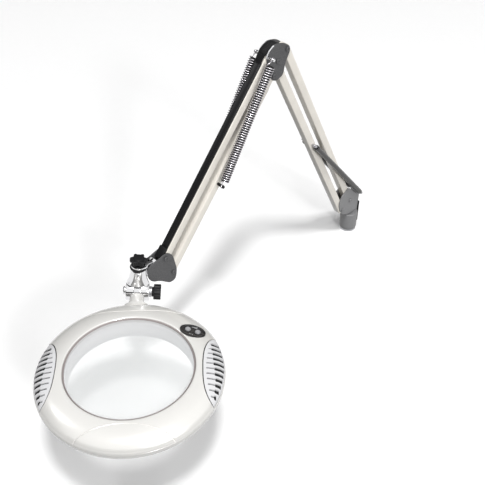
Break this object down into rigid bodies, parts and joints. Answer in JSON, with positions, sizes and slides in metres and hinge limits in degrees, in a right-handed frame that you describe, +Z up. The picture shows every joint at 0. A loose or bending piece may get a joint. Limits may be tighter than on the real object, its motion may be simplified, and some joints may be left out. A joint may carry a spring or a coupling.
{
  "type": "magnifying lamp",
  "caption": "Round magnifying lamp on a spring-balanced two-stage parallelogram arm, with a swivelling and tilting head and a clamp spigot base.",
  "frame": {"origin": "centre of the flat underside of the base flange, on the axis that the lamp turns on", "axes": "+Z up along the base axis; the arm lies in the YZ plane and reaches towards -Y; +X is across the arm"},
  "size_m": [0.2975, 0.8102, 0.502],
  "materials": {
    "zinc_steel": "satin",
    "bronze": "satin",
    "cast_base": "satin",
    "cast_plate": "satin",
    "rear_cover_black": "matte",
    "pin_steel": "satin",
    "bar_enamel": "semi gloss",
    "spring_sleeve": "satin",
    "spring_steel": "satin",
    "graphite": "fine texture",
    "black_plastic": "matte",
    "bracket_chrome": "polished",
    "pearl_plastic": "gloss",
    "vent_silver": "satin",
    "lens_glass": "clear",
    "gasket_rubber": "matte",
    "liner_pale": "satin",
    "board_green": "matte",
    "diffuser_white": "frosted",
    "pad_black": "gloss",
    "key_grey": "satin"
  },
  "bodies": {
    "root": {"mounting_spigot": "zinc_steel", "base_bush": "bronze"},
    "turret": {"base_socket": "cast_base", "rear_cover": "rear_cover_black", "base_plate_left": "cast_plate", "base_plate_right": "cast_plate", "base_front_pin": "pin_steel", "base_rear_pin": "pin_steel", "spring_foot_pin": "pin_steel"},
    "lower_front": {"lower_front_bar": "bar_enamel", "lower_spring_pin": "pin_steel", "lower_spring_left": "spring_sleeve", "lower_spring_right": "spring_sleeve"},
    "lower_rear": {"lower_rear_bar": "bar_enamel"},
    "elbow": {"elbow_plate_left": "graphite", "elbow_plate_right": "graphite", "elbow_cable_guard": "black_plastic", "elbow_front_pin": "pin_steel", "elbow_rear_pin": "pin_steel", "elbow_low_pin": "pin_steel", "elbow_spring_pin": "bracket_chrome"},
    "upper_bottom": {"upper_bottom_bar": "bar_enamel", "upper_spring_pin": "black_plastic", "upper_spring_left": "spring_steel", "upper_spring_right": "spring_steel"},
    "upper_top": {"upper_top_bar": "bar_enamel", "wire_cover": "black_plastic", "wire_cover_end": "black_plastic"},
    "wrist": {"wrist_cover_left": "graphite", "wrist_cover_right": "graphite", "wrist_bracket": "bracket_chrome", "wrist_low_pin": "pin_steel", "wrist_top_pin": "pin_steel"},
    "star_knob": {"star_knob": "black_plastic", "knob_washer": "black_plastic"},
    "yoke": {"yoke": "bracket_chrome", "yoke_set_screw": "pin_steel", "swivel_collar": "black_plastic", "tilt_washer": "pin_steel"},
    "tilt_knob": {"tilt_bolt": "bracket_chrome", "tilt_knob": "black_plastic"},
    "head": {"neck_knuckle": "bracket_chrome", "upper_shell": "pearl_plastic", "lower_shell": "pearl_plastic", "lens": "lens_glass", "lens_gasket": "gasket_rubber", "inner_liner": "liner_pale", "led_board": "board_green", "diffuser": "diffuser_white", "driver_board": "board_green", "vent_left": "vent_silver", "vent_right": "vent_silver", "control_pad": "pad_black", "shell_screw_1": "pin_steel", "shell_screw_2": "pin_steel"},
    "power_key": {"power_key": "key_grey"},
    "brightness_key": {"brightness_key": "key_grey"}
  },
  "joints": [
    {"name": "base_swivel", "type": "hinge", "parent": "root", "child": "turret", "pos_m": [0, 0, 0.02], "axis": [0, 0, 1], "continuous": true},
    {"name": "shoulder", "type": "hinge", "parent": "turret", "child": "lower_front", "pos_m": [0, -0.0322, 0.0653], "axis": [1, 0, 0], "range_deg": [-9, 54], "deforming": ["lower_spring_left", "lower_spring_right"]},
    {"name": "lower_rear_pivot", "type": "hinge", "parent": "turret", "child": "lower_rear", "pos_m": [0, -0.0115, 0.0793], "axis": [1, 0, 0], "range_deg": [-9, 54]},
    {"name": "elbow_level", "type": "hinge", "parent": "lower_front", "child": "elbow", "pos_m": [0, -0.23446, 0.47097], "axis": [1, 0, 0], "range_deg": [-54, 9]},
    {"name": "elbow_fold", "type": "hinge", "parent": "elbow", "child": "upper_bottom", "pos_m": [0, -0.2418, 0.4476], "axis": [1, 0, 0], "range_deg": [-54, 28], "deforming": ["upper_spring_left", "upper_spring_right"]},
    {"name": "upper_top_pivot", "type": "hinge", "parent": "elbow", "child": "upper_top", "pos_m": [0, -0.2553, 0.4842], "axis": [1, 0, 0], "range_deg": [-54, 28]},
    {"name": "wrist_level", "type": "hinge", "parent": "upper_bottom", "child": "wrist", "pos_m": [0, -0.46725, 0.1677], "axis": [1, 0, 0], "range_deg": [-28, 54]},
    {"name": "star_knob_turn", "type": "hinge", "parent": "wrist", "child": "star_knob", "pos_m": [0, -0.536, 0.162], "axis": [0, 0.1392, 0.9903], "continuous": true},
    {"name": "head_swivel", "type": "hinge", "parent": "wrist", "child": "yoke", "pos_m": [0, -0.536, 0.162], "axis": [0, 0.1392, 0.9903], "range_deg": [-115, 10]},
    {"name": "tilt_knob_turn", "type": "hinge", "parent": "yoke", "child": "tilt_knob", "pos_m": [0, -0.536, 0.162], "axis": [0.6481, 0.7541, -0.106], "continuous": true},
    {"name": "head_tilt", "type": "hinge", "parent": "yoke", "child": "head", "pos_m": [0, -0.536, 0.162], "axis": [0.6481, 0.7541, -0.106], "range_deg": [-14, 70]},
    {"name": "power_key_press", "type": "slide", "parent": "head", "child": "power_key", "axis": [-0.0134, -0.1491, -0.9887], "range_m": [0, 0.0008], "stiffness_N_per_m": 400, "springref_m": -0.0006},
    {"name": "brightness_key_press", "type": "slide", "parent": "head", "child": "brightness_key", "axis": [-0.0134, -0.1491, -0.9887], "range_m": [0, 0.0008], "stiffness_N_per_m": 400, "springref_m": -0.0006}
  ],
  "couplings": [
    {"joint": "lower_rear_pivot", "follows": "shoulder", "ratio": 1},
    {"joint": "elbow_level", "follows": "shoulder", "ratio": -1},
    {"joint": "upper_top_pivot", "follows": "elbow_fold", "ratio": 1},
    {"joint": "wrist_level", "follows": "elbow_fold", "ratio": -1}
  ]
}
